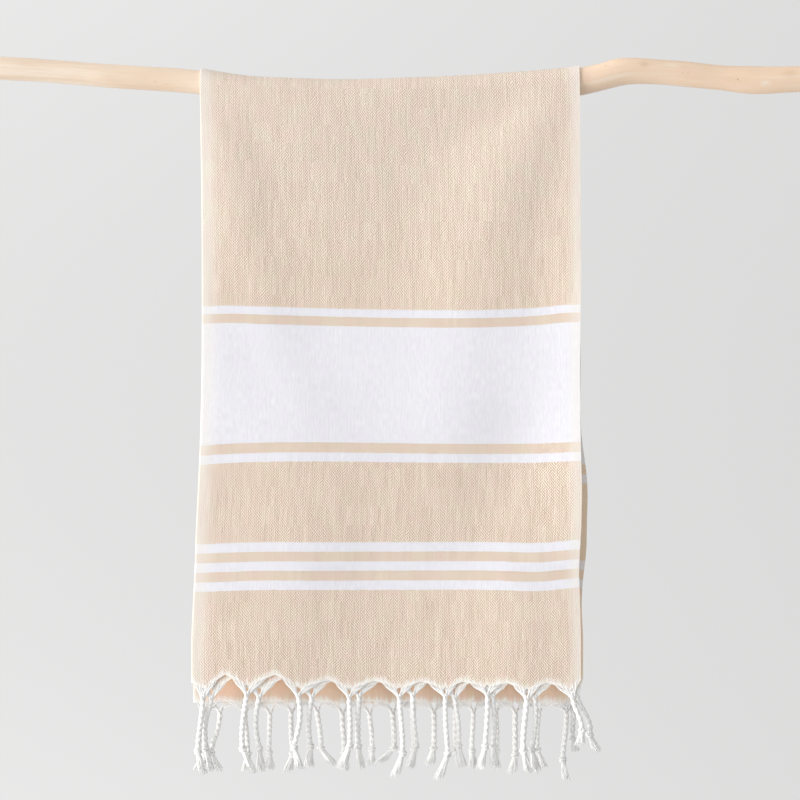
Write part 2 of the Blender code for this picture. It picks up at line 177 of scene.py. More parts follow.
class Nodes:
    """Short way to add and join the nodes of a material or of the room's light."""

    def __init__(self, tree):
        self.tree = tree

    def node(self, kind, **settings):
        made = self.tree.nodes.new(kind)
        for key, value in settings.items():
            setattr(made, key, value)
        return made

    def put(self, value, socket):
        if hasattr(value, "links"):
            self.tree.links.new(value, socket)
        else:
            socket.default_value = value

    def math(self, operation, first, second=0.0, third=0.0):
        made = self.node("ShaderNodeMath", operation=operation)
        for value, socket in zip((first, second, third), made.inputs):
            self.put(value, socket)
        return made.outputs[0]

    def times(self, first, second):
        return self.math("MULTIPLY", first, second)

    def mix(self, share, first, second, blend="MIX"):
        made = self.node("ShaderNodeMix", data_type="RGBA", blend_type=blend)
        self.put(share, made.inputs["Factor"])
        colours = [socket for socket in made.inputs if socket.type == "RGBA"]
        self.put(first, colours[0])
        self.put(second, colours[1])
        return [socket for socket in made.outputs if socket.type == "RGBA"][0]

    def fed(self, kind, **inputs):
        """Outputs of a new node that is given these inputs."""
        made = self.node(kind)
        for name, value in inputs.items():
            self.put(value, made.inputs[name])
        return made.outputs

    def noise(self, vector, scale, detail=3.0, roughness=0.5, distortion=0.0):
        return self.fed("ShaderNodeTexNoise", Vector=vector, Scale=scale, Detail=detail,
                        Roughness=roughness, Distortion=distortion)["Fac"]

    def chance(self, across, along):
        """A number from 0 to 1 that jumps from one whole pair of values to the next."""
        made = self.node("ShaderNodeTexWhiteNoise", noise_dimensions="2D")
        self.put(self.join(across, along), made.inputs["Vector"])
        return made.outputs["Value"]

    def join(self, *values):
        made = self.node("ShaderNodeCombineXYZ")
        for value, socket in zip(values, made.inputs):
            self.put(value, socket)
        return made.outputs[0]

    def split(self, vector):
        return self.fed("ShaderNodeSeparateXYZ", Vector=vector)

    def ramp(self, value, stops):
        made = self.node("ShaderNodeValToRGB")
        self.put(value, made.inputs[0])
        made.color_ramp.interpolation = "EASE"
        while len(made.color_ramp.elements) < len(stops):
            made.color_ramp.elements.new(1.0)
        for element, (place, shade) in zip(made.color_ramp.elements, sorted(stops)):
            element.position = place
            element.color = (shade, shade, shade, 1)
        return made.outputs[0]

    def stretch(self, vector, scale, place=(0, 0, 0)):
        return self.fed("ShaderNodeMapping", Vector=vector, Scale=scale, Location=place)[0]

    def vary(self, base, value, share):
        """The base, moved either way by a share of a value that runs from 0 to 1."""
        return self.math("MULTIPLY_ADD", self.math("SUBTRACT", value, 0.5), share, base)

    def streaks(self, vector, scale, place=(0, 0, 0), **settings):
        """Noise drawn out along the axes."""
        return self.noise(self.stretch(vector, scale, place), 1.0, **settings)

    def length(self, vector):
        made = self.node("ShaderNodeVectorMath", operation="LENGTH")
        self.put(vector, made.inputs[0])
        return made.outputs["Value"]

    def spot(self, vector, centre, reach):
        """A soft round or oval mark, 1 at its centre and 0 from its reach on."""
        scale = [1 / size for size in reach]
        near = self.stretch(vector, scale, [-c * s for c, s in zip(centre, scale)])
        return self.ramp(self.length(near), [(0.0, 1.0), (1.0, 0.0)])


class Paint(Nodes):
    """A material, with its colour and its fine relief."""

    def __init__(self, name, roughness):
        self.material = bpy.data.materials.new(name)
        self.material.use_nodes = True
        super().__init__(self.material.node_tree)
        self.shader = self.tree.nodes["Principled BSDF"]
        self.shader.inputs["Roughness"].default_value = roughness
        self.shader.inputs["Specular IOR Level"].default_value = 0.25

    def raise_by(self, height, strength, distance):
        bump = self.fed("ShaderNodeBump", Height=height, Strength=strength, Distance=distance)
        self.put(bump[0], self.shader.inputs["Normal"])

    def colour(self, value):
        self.put(value, self.shader.inputs["Base Color"])


wood = Paint("dry peeled wood", 0.6)
along_grain = wood.split(wood.node("ShaderNodeUVMap", uv_map="lengthwise").outputs[0])
over_grain = wood.split(wood.node("ShaderNodeUVMap", uv_map="crosswise").outputs[0])
place = wood.join(along_grain[0], along_grain[1], over_grain[0])
broad_streak = wood.streaks(place, (5, 120, 120), detail=4, distortion=0.3)
pale_streak = wood.streaks(place, (7, 150, 150), (3, 5, 1), detail=3)
fine_grain = wood.streaks(place, (14, 620, 620), detail=4, roughness=0.6)
blotch = wood.streaks(place, (26, 60, 60), (0, 2, 7), detail=2)
GRAIN = [
    # pattern, how far it shows from its first to its second value, colour
    (broad_streak, [(0.42, 0.0), (0.66, 0.5)], (0.82, 0.62, 0.45, 1)),
    (pale_streak, [(0.50, 0.0), (0.72, 0.5)], (0.95, 0.84, 0.72, 1)),
    (blotch, [(0.50, 0.0), (0.75, 0.3)], (0.84, 0.63, 0.46, 1)),
    (fine_grain, [(0.30, 0.28), (0.50, 0.0)], (0.70, 0.50, 0.34, 1)),
]
# Paler cream on the left to darker tan on the right: partly the wood's own tone, partly painted
# shade where the light falls off to the right.
rightward_tone_and_shade = wood.ramp(wood.math("DIVIDE", along_grain[0], length), [(0.15, 0.0), (0.85, 1.0)])
cream = (0.945, 0.80, 0.66, 1)
tan = (0.87, 0.665, 0.50, 1)
tone = wood.mix(rightward_tone_and_shade, cream, tan)
for pattern, stops, colour in GRAIN:
    tone = wood.mix(wood.ramp(pattern, stops), tone, colour)
lower_band = wood.spot(place, (286 * MM, 9 * MM, -12.5 * MM), (85 * MM, 20 * MM, 5.5 * MM))
tone = wood.mix(wood.times(lower_band, 0.6), tone, (0.80, 0.56, 0.38, 1))
MARKS = [
    # x, height above the heart, half length, half height, strength, colour
    (300, 0, 120, 60, 0.8, (0.85, 0.665, 0.50, 1)),
    (1130, 0, 90, 60, 0.6, (0.80, 0.61, 0.45, 1)),
    (216, 5, 8, 3.2, 0.5, (0.87, 0.67, 0.58, 1)),
    (302, -6, 3, 1.6, 0.5, (0.66, 0.48, 0.34, 1)),
    (317, -8, 7, 0.9, 0.6, (0.70, 0.47, 0.33, 1)),
    # painted shade and warm reflected light on the branch beside the towel's right edge
    (872, 0, 8, 18, 0.55, (0.82, 0.57, 0.44, 1)),
    (896, 12, 2.4, 1.5, 0.7, (0.60, 0.40, 0.28, 1)),
    (899, 10, 2.6, 0.8, 0.5, (0.60, 0.40, 0.28, 1)),
    (947, 7, 11, 7, 0.6, (0.70, 0.51, 0.36, 1)),
    (983, 8, 17, 4.5, 0.6, (0.90, 0.79, 0.67, 1)),
    (1071, -2.7, 1.5, 1.3, 0.95, (0.24, 0.16, 0.11, 1)),
    (1107, -6, 10, 5, 0.65, (0.87, 0.81, 0.74, 1)),
    (1140, 6, 16, 9, 0.55, (0.72, 0.52, 0.36, 1)),
    (1196, -4, 22, 5, 0.4, (0.76, 0.57, 0.41, 1)),
]
MARK_DEPTH = 14 * MM  # how far in front of the heart the marks lie
MARK_REACH = 16 * MM
for x, height, half_length, half_height, strength, colour in MARKS:
    centre = (x * MM, MARK_DEPTH, height * MM)
    mark = wood.spot(place, centre, (half_length * MM, MARK_REACH, half_height * MM))
    tone = wood.mix(wood.times(mark, strength), tone, colour)
pore = wood.ramp(wood.noise(place, 850, detail=1), [(0.60, 0.0), (0.68, 1.0)])
ROUGH_PLACES = [
    # x, height above the heart, half length, half height
    (1068, -5, 26, 13),
    (1001, 1, 14, 15),
]
ROUGH_REACH = 20 * MM
rough_places = 0.0
for x, height, half_length, half_height in ROUGH_PLACES:
    centre = (x * MM, MARK_DEPTH, height * MM)
    rough = wood.spot(place, centre, (half_length * MM, ROUGH_REACH, half_height * MM))
    rough_places = wood.math("ADD", rough_places, rough)
pores = wood.times(pore, wood.times(rough_places, 0.7))
tone = wood.mix(pores, tone, (0.50, 0.33, 0.22, 1))
wood.colour(tone)
surface = wood.math("SUBTRACT", fine_grain, wood.times(pores, 0.6))
wood.raise_by(surface, 0.18, 0.3 * MM)
branch.data.materials.append(wood.material)
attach(branch, "root")
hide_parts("branch")

# ---- The towel's cloth --------------------------------------------------------------------------
# One cotton cloth, woven flat with a white warp and a beige weft that changes to white in its bands.
# It is folded in half along its length, fold on the left, and hangs over the branch at its middle.

CLOTH = 0.9 * MM  # thickness of the woven cloth
SOLID_CLOTH = 1.2 * MM  # room that one layer takes where it lies on the branch
BRANCH_GAP = 0.35 * MM
LAYER_GAP_TOP = 0.6 * MM  # air between the two layers on the branch
LAYER_GAP_DROP = 1.6 * MM  # and in a hanging drop
FOLD_PUFF = 1.4 * MM  # how much more there is beside the fold
FOLD_PUFF_REACH = 18 * MM
HANG_DEPTH = 17 * MM  # how far a drop hangs from the middle plane
SETTLE = 110 * MM  # height in which it comes from the branch to that plane
CREASE_SETTLE = 50 * MM  # height in which its creases begin below the branch
FLUTTER = 0.7 * MM  # its fine unevenness
PARTING = {"front": -799 * MM, "back": -833 * MM}  # height where the fringe's strip begins
SIGN = {"front": -1, "back": 1}
EDGES = {
    "front": [
        # height, left fold, right selvedge
        (-860, 344.5, 865.5),
        (-804, 346, 865),
        (-771, 349, 864),
        (-705, 352.5, 862),
        (-668, 354.3, 860.8),
        (-607, 356.3, 863.4),
        (-560, 358.6, 864),
        (-488, 361.6, 862.4),
        (-350, 364, 861.8),
        (-310, 364, 862.4),
        (-120, 363, 862.8),
        (0, 361, 862),
    ],
    "back": [
        (-890, 346, 869.5),
        (-805, 348, 871),
        (-700, 353, 872),
        (-676, 354, 874),
        (-629, 356, 875),
        (-576, 358, 875),
        (-522, 360.5, 873),
        (-442, 363, 871),
        (-370, 364.5, 870.1),
        (-330, 364.7, 867.5),
        (-290, 364.7, 864),
        (-120, 363, 862),
        (0, 361, 862),
    ],
}
BACK_TRIM = [
    # height, how far the back drop's right selvedge lies past the solid's edge; minus is inside it
    (-890, -4), (-850, -4), (-720, -5), (-676, -5), (-640, -1), (-600, 0), (-540, 1.5),
    (-480, -4), (-400, -4), (-340, -2.5), (-290, 0), (0, 0),
]
INNER_EXTRA = 3.5 * MM  # how far the inner layer's selvedge shows past the outer's
INNER_EXTRA_START = -600 * MM  # height below which it comes out
INNER_EXTRA_REACH = 200 * MM
CREASE_FADE = 0.4  # share of a crease's length in which it fades in or out
CREASES = {
    "front": [
        # x upper, z upper, x lower, z lower, half width, height
        (357, -90, 350, -460, 24, -3.4),
        (350, -460, 343, -830, 22, -2.6),
        (385, -60, 470, -400, 36, 3.0),
        (480, -30, 500, -130, 50, 2.2),
        (480, -420, 500, -640, 85, 4.6),
        (490, -640, 450, -850, 80, 4.6),
        (770, -20, 662, -120, 75, -3.6),
        (662, -120, 632, -310, 82, -3.5),
        (828, -30, 792, -100, 34, 3.4),
        (792, -100, 744, -200, 58, 6.0),
        (744, -200, 722, -330, 76, 6.4),
        (722, -330, 690, -500, 78, 4.6),
        (838, -60, 806, -220, 32, -1.6),
        (806, -220, 806, -340, 34, -1.4),
        (800, -450, 718, -650, 58, -3.5),
        (888, -260, 874, -600, 70, 8.4),
        (798, -640, 786, -850, 52, 4.0),
        (640, -600, 600, -850, 95, -2.6),
        (868, -60, 868, -830, 38, 3.4),
    ],
    "back": [
        (430, -80, 460, -840, 60, 3.2),
        (560, -140, 590, -840, 55, -2.6),
        (700, -90, 760, -840, 70, 3.6),
        (822, -200, 836, -840, 28, -2.4),
        (372, -250, 376, -840, 16, -1.6),
    ],
}


def crease_height(side, x, z):
    """Sum of a drop's soft ridges and troughs at one place."""
    total = 0.0
    for x_up, z_up, x_low, z_low, half_width, height in CREASES[side]:
        along = (z / MM - z_up) / (z_low - z_up)
        middle = x_up + (x_low - x_up) * along
        fade = ease(along / CREASE_FADE + 0.5) * ease((1 - along) / CREASE_FADE + 0.5)
        total += height * fade * math.exp(-((x / MM - middle) / half_width) ** 2)
    return total * MM * ease((heart(x).z - z) / CREASE_SETTLE)


def layer_rise(outer, from_fold, settled):
    """Distance of a layer's middle from the branch's side."""
    rise = BRANCH_GAP + SOLID_CLOTH / 2
    if outer:
        gap = LAYER_GAP_TOP + (LAYER_GAP_DROP - LAYER_GAP_TOP) * settled
        gap += FOLD_PUFF * settled * math.exp(-from_fold / FOLD_PUFF_REACH)
        rise += SOLID_CLOTH + gap
    return rise


def drop_edges(side, z, outer, settled):
    """Left and right end of a layer at one height; the left fold's turn lies outside them."""
    half_fold = (layer_rise(True, 0, settled) - layer_rise(False, 0, settled)) / 2
    left = curve_through(EDGES[side], 1, z) + half_fold + CLOTH / 2
    right = curve_through(EDGES[side], 2, z) - CLOTH / 2
    if not outer:
        right += INNER_EXTRA * ease((INNER_EXTRA_START - z) / INNER_EXTRA_REACH)
    if side == "back":
        right += curve_through(BACK_TRIM, 1, z)
    return left, right


def settled_at(x, z):
    return ease((heart(x).z - z) / SETTLE)


def drop_point(side, outer, x, z):
    """Middle of a hanging layer at one place and height."""
    settled = settled_at(x, z)
    left, _ = drop_edges(side, z, outer, settled)
    at_branch = heart(x).y + SIGN[side] * branch_radius(x, math.pi if side == "front" else 0.0)
    base = at_branch + (SIGN[side] * HANG_DEPTH - at_branch) * settled
    flutter = noise.noise(Vector((x * 14, z * 7, 3.0 * SIGN[side]))) * FLUTTER * settled
    away = crease_height(side, x, z) + layer_rise(outer, x - left, settled) + flutter
    return Vector((x, base + SIGN[side] * away, z))


TASSELS = {
    ("front", True): [
        # x, root's depth below the parting line, length share, bow, knot sway, end sway
        (366, 34, 1.0, 0, -6, 1),
        (424, 29, 1.02, -2.5, -5, 9),
        (491, 31, 0.95, 5, -5, 3),
        (558, 33, 0.93, 1, 1, -10),
        (624, 33, 1.06, 1, 4.5, -6),
        (685, 33, 1.08, -1, 3, -9),
        (740, 30, 0.97, 1, -3, -9),
        (792, 35, 0.97, -1, -5, 2),
        (852, 34, 0.62, 1, 12, 9),
    ],
    ("front", False): [
        (377, 35, 0.97, -4.5, -7, -1),
        (440, 33, 1.0, -5, 0, 2),
        (509, 33, 0.95, -3, -2, -4),
        (571, 32, 0.98, -1, -1, 3),
        (642, 31, 0.98, -1, 4, -2),
        (697, 35, 0.92, 2, 5, 12),
        (747, 32, 0.98, 2, 1, 6),
        (802, 34, 1.0, 3, -3, 3),
        (858, 33, 0.74, 4, 17, 27),
    ],
    ("back", True): [
        (384, 24, 0.83, 2, -12, -2),
        (451, 26, 0.8, 0, -1.5, -1),
        (514, 22, 0.77, 1, 5, 22),
        (584, 26, 0.74, 1, 3.5, 2),
        (642, 24, 0.76, 0, 2, -5),
        (699, 24, 0.78, 0, 0, 8),
        (753, 24, 0.8, 1, 1, -3),
        (811, 24, 0.78, -1, -2, 5),
        (857, 25, 0.55, 0, -1.5, 3),
    ],
    ("back", False): [
        (362, 24, 0.78, 1, 3, -4),
        (418, 25, 0.8, 0, 4, 3),
        (480, 24, 0.82, -1, 2, -5),
        (548, 25, 0.79, 0, 3, 4),
        (615, 24, 0.7, 1, 2, -17),
        (670, 24, 0.72, 1, 0, -6),
        (723, 24, 0.77, 0, -2, 0),
        (779, 24, 0.84, 0, 0, -5),
        (847, 24, 0.92, 1, -5, 0),
    ],
}
PEAKS = {
    # x and depth below the parting line where the hem rises between two tassels
    ("front", True): [
        (395, 4), (461, 4), (531, 12), (592, 13), (653, 14),
        (707, 14), (765, 15), (818, 15),
    ],
    ("front", False): [
        (407, 8), (473, 9), (538, 13), (606, 13), (669, 14),
        (722, 14), (775, 15), (834, 14),
    ],
    ("back", True): [
        (417, 12), (483, 12), (550, 11), (614, 12), (670, 11),
        (726, 12), (782, 12), (834, 13),
    ],
    ("back", False): [
        (390, 12), (449, 12), (514, 12), (582, 11), (643, 11),
        (697, 12), (751, 12), (813, 13),
    ],
}
LEFT_END_PEAK = 13 * MM  # depth of the hem's two ends below the parting line
RIGHT_END_PEAK = {"front": 9 * MM, "back": -18 * MM}
EYE_TOP = 13 * MM  # the small opening between a tassel's legs, above its root
EYE_SIDE = 8 * MM
EYE_HALF_WIDTH = 3.6 * MM
ROOT_HALF_WIDTH = 2.8 * MM
LEG_SHARE = 0.52  # how far across from its peak to its root a leg's middle lies
LEG_FALL = 0.52  # and how far down
LEG_WIDTH = 6.8 * MM  # width of the flat bundle of warp ends along a scallop's edge
LEG_BARE = 0.75  # share of that width that lies below the cloth's edge


def hem_peaks(side, outer):
    """Places where the hem rises, as points of place and depth, left to right."""
    left, right = drop_edges(side, PARTING[side], outer, 1.0)
    peaks = [(x * MM, depth * MM) for x, depth in PEAKS[side, outer]]
    return [(left, LEFT_END_PEAK)] + peaks + [(right, RIGHT_END_PEAK[side])]


def leg_middle(peak, x, root):
    """Middle point of a leg's lower edge."""
    return (peak[0] + (x - peak[0]) * LEG_SHARE, peak[1] + (root - peak[1]) * LEG_FALL)


def scallops(side, outer):
    """The cloth's cut edge as points of place and depth, left to right."""
    peaks = hem_peaks(side, outer)
    points = [peaks[0]]
    for tassel, start, end in zip(TASSELS[side, outer], peaks, peaks[1:]):
        x, root = tassel[0] * MM, tassel[1] * MM
        for hand, peak in ((-1, start), (1, end)):
            middle = leg_middle(peak, x, root)
            leg = (middle[0], middle[1] - LEG_WIDTH * LEG_BARE)
            eye = (x + hand * EYE_HALF_WIDTH, root - EYE_SIDE)
            points += [leg, eye, (x, root - EYE_TOP)] if hand < 0 else [eye, leg, peak]
    return points


HEMS = {key: scallops(*key) for key in TASSELS}


def hem_depth(side, outer, x):
    """Depth of the cloth's edge below the parting line."""
    points = HEMS[side, outer]
    if x <= points[0][0]:
        return points[0][1]
    for (x0, d0), (x1, d1) in zip(points, points[1:]):
        if x <= x1:
            return d0 + (d1 - d0) * (x - x0) / (x1 - x0)
    return points[-1][1]


LAYER_CELLS = 146
FOLD_CELLS = 8
HEM_ROWS = 12
DROP_ROWS = 46
ARC_ROWS = 24
HEM_ZONE = 46 * MM  # height above the parting line in which rows bend to the scallops
LAYER_WIDTH = 0.5
FOLD_WIDTH = 6 * MM
WOVEN_LENGTH = 1.694  # from the front hem's lowest edge to the back hem's, along the warp
HEM_AT = {"front": -832 * MM, "back": -864 * MM}  # height of a hem's lowest edge
BOW = [
    # x, then how far the white bands droop at the upper pair, the middle pair and the lowest three
    (355, -4.6, 3.6, 3),
    (371, -4.4, 3, 2.6),
    (382, -4.9, 1.8, 2.1),
    (400, -5.3, 0.8, 1.4),
    (441, -4.1, -0.7, 0.1),
    (520, -1.8, -1.3, 0.1),
    (625, 0.3, -0.1, 0.2),
    (757, 0, 0.7, 0.2),
    (809, -2.7, 0.2, 1.1),
    (844, -6, -1.4, -2),
    (870, -6.2, -2.6, -4.6),
]
BOW_HEIGHTS = (-335 * MM, -510 * MM, -660 * MM)  # heights of those three groups of bands


def bow_at(x, z):
    """How far the weft droops at one place."""
    upper, middle, lower = (curve_through(BOW, column, x) for column in (1, 2, 3))
    if z > BOW_HEIGHTS[1]:
        share = ease((z - BOW_HEIGHTS[1]) / (BOW_HEIGHTS[0] - BOW_HEIGHTS[1]))
        return middle + (upper - middle) * share
    share = ease((z - BOW_HEIGHTS[2]) / (BOW_HEIGHTS[1] - BOW_HEIGHTS[2]))
    return lower + (middle - lower) * share


def warp_place(side, x, z):
    """Distance along the warp from the nearer hem."""
    return z - HEM_AT[side] + bow_at(x, z)


def column_shares(side, outer):
    """Where each column meets the cut edge, so that one falls on every corner of the scallops."""
    left, right = drop_edges(side, PARTING[side], outer, 1.0)
    marks = [(0, 0.0)]
    for x, _ in HEMS[side, outer][1:-1]:
        share = (x - left) / (right - left)
        marks.append((max(round(share * LAYER_CELLS), marks[-1][0] + 1), share))
    marks.append((LAYER_CELLS, 1.0))
    shares = []
    for (first, low), (last, high) in zip(marks, marks[1:]):
        shares += [low + (high - low) * k / (last - first) for k in range(last - first)]
    return shares + [1.0]


SHARES = {key: column_shares(*key) for key in TASSELS}
top_left, top_right = drop_edges("front", 0.0, True, 0.0)


def cloth_at(outer, column, row):
    """Point, share of the width and warp distance; rows run front hem, branch, back hem."""
    last = 2 * (HEM_ROWS + DROP_ROWS) + ARC_ROWS
    side = "front" if row <= last / 2 else "back"
    down = row if side == "front" else last - row
    share = column / LAYER_CELLS
    x = top_left + (top_right - top_left) * share
    if down > HEM_ROWS + DROP_ROWS:
        turn = (row - HEM_ROWS - DROP_ROWS) / ARC_ROWS
        angle = math.pi * (1 - turn)
        reach = branch_radius(x, angle) + layer_rise(outer, 1, 0)
        point = heart(x) + Vector((0, math.cos(angle), math.sin(angle))) * reach
        z = heart(x).z
        start = warp_place("front", x, z)
        end = WOVEN_LENGTH - warp_place("back", x, z)
        return point, share, start + (end - start) * turn, HEM_ZONE
    zone_top = PARTING[side] + HEM_ZONE
    if down >= HEM_ROWS:
        above = (down - HEM_ROWS) / DROP_ROWS
        z = zone_top + (heart(x).z - zone_top) * above
    else:
        above, z = 0.0, zone_top
        share += (SHARES[side, outer][column] - share) * (1 - down / HEM_ROWS)
    level = z - heart(x).z * above
    left, right = drop_edges(side, level, outer, settled_at(x, z))
    x = left + (right - left) * share
    from_edge = HEM_ZONE
    if down < HEM_ROWS:
        drop = HEM_ZONE + hem_depth(side, outer, x)
        z = zone_top - drop * (1 - down / HEM_ROWS)
        from_edge = drop * down / HEM_ROWS
    point = drop_point(side, outer, x, z)
    along = warp_place(side, x, z)
    return point, share, along if side == "front" else WOVEN_LENGTH - along, from_edge


across = 2 * LAYER_CELLS + FOLD_CELLS
along = 2 * (HEM_ROWS + DROP_ROWS) + ARC_ROWS
weave = bmesh.new()
bmesh.ops.create_grid(weave, x_segments=across, y_segments=along, size=0.5)
woven = {}
for vert in weave.verts:
    column = round((vert.co.x + 0.5) * across)
    row = round((vert.co.y + 0.5) * along)
    if column <= LAYER_CELLS:
        point, share, warp, from_edge = cloth_at(True, LAYER_CELLS - column, row)
        weft = LAYER_WIDTH * (1 - share)
    elif column >= LAYER_CELLS + FOLD_CELLS:
        point, share, warp, from_edge = cloth_at(False, column - LAYER_CELLS - FOLD_CELLS, row)
        weft = LAYER_WIDTH * (1 + share) + FOLD_WIDTH
    else:
        turn = (column - LAYER_CELLS) / FOLD_CELLS
        outer_end, _, warp, from_edge = cloth_at(True, 0, row)
        inner_end = cloth_at(False, 0, row)[0]
        arm = (outer_end - inner_end) / 2
        point = (outer_end + inner_end) / 2 + arm * math.cos(math.pi * turn)
        point -= Vector((arm.length * math.sin(math.pi * turn), 0, 0))
        weft = LAYER_WIDTH + FOLD_WIDTH * turn
    woven[vert] = (weft, warp, from_edge)
    vert.co = point
cloth_uv = weave.loops.layers.uv.new("cloth")
edge_uv = weave.loops.layers.uv.new("edge")
for face in weave.faces:
    face.smooth = True
    for loop in face.loops:
        weft, warp, from_edge = woven[loop.vert]
        loop[cloth_uv].uv = (weft, warp)
        loop[edge_uv].uv = (from_edge, 0)
cloth_mesh = bpy.data.meshes.new("striped_cloth")
weave.to_mesh(cloth_mesh)
weave.free()
cloth = bpy.data.objects.new("striped_cloth", cloth_mesh)
bpy.context.scene.collection.objects.link(cloth)
bpy.ops.object.select_all(action="DESELECT")
bpy.context.view_layer.objects.active = cloth
cloth.select_set(True)
solid = cloth.modifiers.new("Thickness", "SOLIDIFY")
solid.thickness = CLOTH
solid.offset = 0
bpy.ops.object.modifier_apply(modifier=solid.name)
cloth.data.set_sharp_from_angle(angle=math.radians(50))
place_layer, edge_layer = cloth.data.uv_layers["cloth"], cloth.data.uv_layers["edge"]
for face in cloth.data.polygons:
    for index in face.loop_indices:
        weft, warp = place_layer.uv[index].vector
        behind = weft > LAYER_WIDTH or warp > WOVEN_LENGTH / 2
        inside = 1.0 if behind and face.normal.y < 0 else 0.0
        edge_layer.uv[index].vector = (edge_layer.uv[index].vector[0], inside)

FIRST_BAND = 140.1 * MM  # from the hem's lowest edge to the lowest white band
BANDS = [
    # width along the warp and the weft's colour, from the hem up; the last goes on to the branch
    (12.3, "white"), (12.9, "beige"), (12.3, "white"), (12.8, "beige"), (12.5, "white"),
    (104.9, "beige"), (11.9, "white"), (13.2, "beige"), (153.0, "white"), (12.2, "beige"),
    (10.6, "white"), (0, "beige"),
]
BAND_TEETH = 0.9 * MM  # unevenness of a band's edge
RIB = 1.41 * MM  # width of one warp rib; every second one lies lower
PICK = 3.95 * MM  # length of the repeat along the warp
RIB_WANDER = 3.0 * MM  # how far ribs and picks stray from straight lines
PICK_WANDER = 5.0 * MM
PICK_SLACK = 0.55  # unevenness of the picks, in repeats
PICK_SLANT = 0.43  # how far a slanting line climbs for each rib, in repeats
THREADS = 3.0  # threads in one repeat
RIB_CHANGES = 40.0  # how often a rib changes its tone, in a metre
cotton = Paint("flat woven cotton", 0.92)
cotton.shader.inputs["Sheen Weight"].default_value = 0.1
cotton.shader.inputs["Sheen Roughness"].default_value = 0.5
cloth_place = cotton.node("ShaderNodeUVMap", uv_map="cloth").outputs[0]
weft, warp, _ = cotton.split(cloth_place)
wander = cotton.streaks(cloth_place, (40, 14, 1), detail=2)
rib_count = cotton.math("DIVIDE", cotton.math("MULTIPLY_ADD", wander, RIB_WANDER, weft), RIB)
pick_count = cotton.math("DIVIDE", cotton.math("MULTIPLY_ADD", wander, PICK_WANDER, warp), PICK)
slack = cotton.streaks(cloth_place, (230, 110, 1), detail=1)
pick_count = cotton.math("MULTIPLY_ADD", slack, PICK_SLACK, pick_count)
rib_number = cotton.math("FLOOR", rib_count)
thread_number = cotton.math("FLOOR", cotton.times(pick_count, THREADS))
rib_wave = cotton.math("COSINE", cotton.times(rib_count, math.pi))
streaks = cotton.streaks(cloth_place, (420, 110, 1), detail=2)
broad_streaks = cotton.streaks(cloth_place, (110, 14, 1), detail=3)
PATCHES = [(0.38, 0.15), (0.58, 1.0)]  # where the lines of one slant show faintly, and fully
twill = 0.0
for slant, shift in ((PICK_SLANT, (0, 0, 0)), (-PICK_SLANT, (7, 3, 0))):
    line = cotton.math("MULTIPLY_ADD", rib_count, slant, pick_count)
    line = cotton.math("COSINE", cotton.times(line, math.tau))
    patch = cotton.streaks(cloth_place, (120, 80, 1), shift, detail=2)
    line = cotton.times(line, cotton.ramp(patch, PATCHES))
    twill = cotton.math("ADD", twill, line)
rib_stretch = cotton.math("FLOOR", cotton.times(warp, RIB_CHANGES))
rib_chance = cotton.chance(rib_number, rib_stretch)
thread_chance = cotton.chance(rib_number, thread_number)
next_chance = cotton.chance(cotton.math("ADD", rib_number, 1.0), thread_number)
clouds = cotton.streaks(cloth_place, (45, 40, 1), detail=3)

# The tone of the weave, from where the beige weft lies deep to where it stands out.
RIB_SHARE = 0.24  # how far the ribs differ from their neighbours
TWILL_SHARE = 0.72  # how far the slanting lines of picks show
STREAK_SHARE = 0.42  # how far single ribs differ
BROAD_SHARE = 0.5  # how far groups of ribs differ
THREAD_SHARE = 0.50  # how far single threads differ
show = cotton.math("MULTIPLY_ADD", rib_wave, RIB_SHARE, 0.5)
show = cotton.math("MULTIPLY_ADD", twill, TWILL_SHARE, show)
show = cotton.vary(show, rib_chance, STREAK_SHARE)
show = cotton.vary(show, broad_streaks, BROAD_SHARE)
thread = cotton.math("SUBTRACT", thread_chance, next_chance)
show = cotton.math("MULTIPLY_ADD", thread, THREAD_SHARE, show)

# The white bands, with single threads that reach over their edges.
from_hem = cotton.math("MINIMUM", warp, cotton.math("SUBTRACT", WOVEN_LENGTH, warp))
toothed = cotton.vary(from_hem, thread_chance, BAND_TEETH)
white_band = 0.0
band_edge = FIRST_BAND
for width, weft_colour in BANDS:
    past = cotton.math("GREATER_THAN", toothed, band_edge)
    white_band = cotton.math("ADD" if weft_colour == "white" else "SUBTRACT", white_band, past)
    band_edge += width * MM
WHITE_STREAKS = 3.2  # how far the white's tone changes in streaks
WHITE_RIBS = 0.8  # and with the weave
beige = cotton.mix(show, (0.56, 0.43, 0.33, 1), (0.98, 0.86, 0.765, 1))
soft = cotton.vary(0.5, streaks, WHITE_STREAKS)
soft = cotton.vary(soft, show, WHITE_RIBS)
white = cotton.mix(soft, (0.78, 0.78, 0.84, 1), (0.90, 0.895, 0.96, 1))
upper = cotton.ramp(from_hem, [(500 * MM, 0.0), (720 * MM, 0.10)])
tone = cotton.mix(white_band, cotton.mix(upper, beige, (0.90, 0.86, 0.82, 1)), white)

# The margins are painted paler: painted light where the cloth curls toward the side light at the
# fold and at the selvedge, where it is also woven closer.
MARGIN = 30 * MM
SELVEDGE_PACE = 1.4  # how much faster the selvedge's margin fades than the fold's
half_woven = LAYER_WIDTH + FOLD_WIDTH / 2
near_fold = cotton.math("ABSOLUTE", cotton.math("SUBTRACT", weft, half_woven))
near_selvedge = cotton.math("SUBTRACT", half_woven, near_fold)
to_selvedge = cotton.times(near_selvedge, SELVEDGE_PACE)
to_margin = cotton.math("MINIMUM", near_fold, to_selvedge)
margin_light_and_weave = cotton.ramp(cotton.math("DIVIDE", to_margin, MARGIN), [(0.15, 0.54), (1.0, 0.0)])
tone = cotton.mix(margin_light_and_weave, tone, (0.915, 0.885, 0.845, 1))
